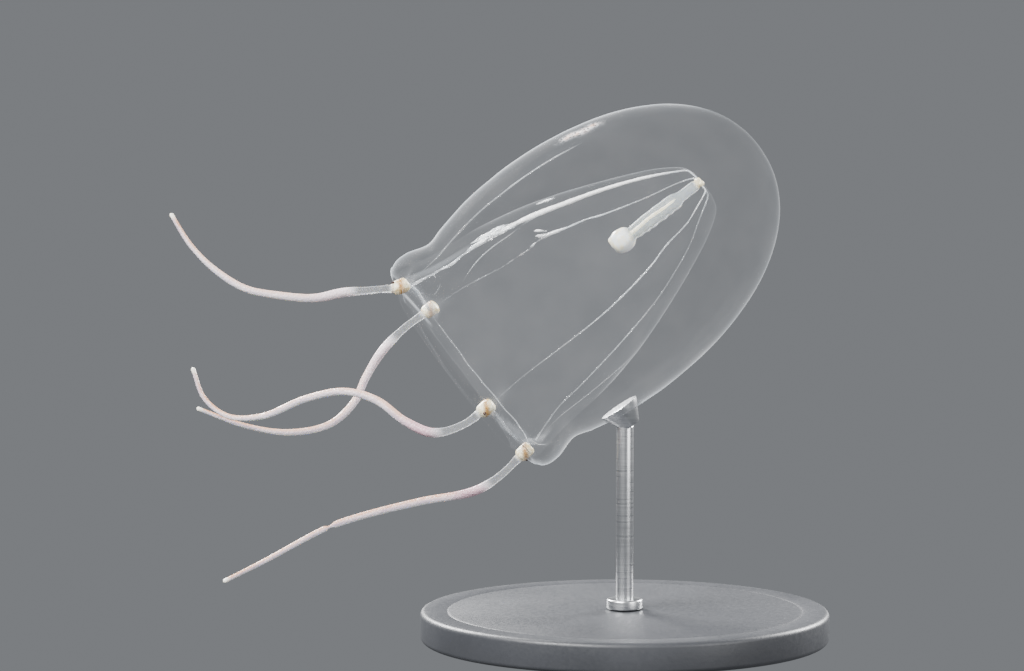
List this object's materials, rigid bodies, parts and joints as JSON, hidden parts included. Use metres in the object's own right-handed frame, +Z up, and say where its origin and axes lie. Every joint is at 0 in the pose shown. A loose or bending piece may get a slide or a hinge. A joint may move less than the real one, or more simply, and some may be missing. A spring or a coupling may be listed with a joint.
{
  "type": "jellyfish",
  "caption": "Clear bell-shaped jellyfish with slender trailing tentacles and a stubby hanging mouth tube, posed swimming at a slant on a plain display stand.",
  "frame": {"origin": "centre of the round stand base, on its underside", "axes": "+Z up; +X from the tentacles towards the top of the bell, seen from above; -Y is the front"},
  "size_m": [0.0321, 0.02, 0.0262],
  "materials": {
    "clear_jelly": "wet, clear, faintly milky",
    "membrane": "thin, faintly milky",
    "canal": "wet, translucent white",
    "manubrium": "wet, milky, with a straw-coloured core",
    "bulb": "wet, cream with a tan centre",
    "ocellus": "dark brown pigment spot",
    "tentacle": "wet, pinkish white, clear near the bell",
    "stand_base": "satin, dark grey",
    "stand_steel": "brushed"
  },
  "bodies": {
    "root": {"bell_apex": "clear_jelly", "bell_wall_1": "clear_jelly", "bell_wall_2": "clear_jelly", "bell_wall_3": "clear_jelly", "bell_wall_4": "clear_jelly", "bell_margin_1": "clear_jelly", "bell_margin_2": "clear_jelly", "bell_margin_3": "clear_jelly", "bell_margin_4": "clear_jelly", "velum": "membrane", "ring_canal_1": "canal", "ring_canal_2": "canal", "ring_canal_3": "canal", "ring_canal_4": "canal", "radial_canal_1": "canal", "radial_canal_2": "canal", "radial_canal_3": "canal", "radial_canal_4": "canal", "apical_knob": "manubrium", "manubrium_tube": "manubrium", "manubrium_mouth": "manubrium", "tentacle_bulb_1": "bulb", "ocellus_1": "ocellus", "tentacle_1_length_1": "tentacle", "tentacle_1_length_2": "tentacle", "tentacle_1_length_3": "tentacle", "tentacle_1_length_4": "tentacle", "tentacle_bulb_2": "bulb", "ocellus_2": "ocellus", "tentacle_2_length_1": "tentacle", "tentacle_2_length_2": "tentacle", "tentacle_2_length_3": "tentacle", "tentacle_2_length_4": "tentacle", "tentacle_bulb_3": "bulb", "ocellus_3": "ocellus", "tentacle_3_length_1": "tentacle", "tentacle_3_length_2": "tentacle", "tentacle_3_length_3": "tentacle", "tentacle_3_length_4": "tentacle", "tentacle_bulb_4": "bulb", "ocellus_4": "ocellus", "tentacle_4_length_1": "tentacle", "tentacle_4_length_2": "tentacle", "tentacle_4_length_3": "tentacle", "tentacle_4_length_4": "tentacle", "stand_base": "stand_base", "stand_rod": "stand_steel", "stand_saddle": "stand_steel"}
  },
  "joints": []
}
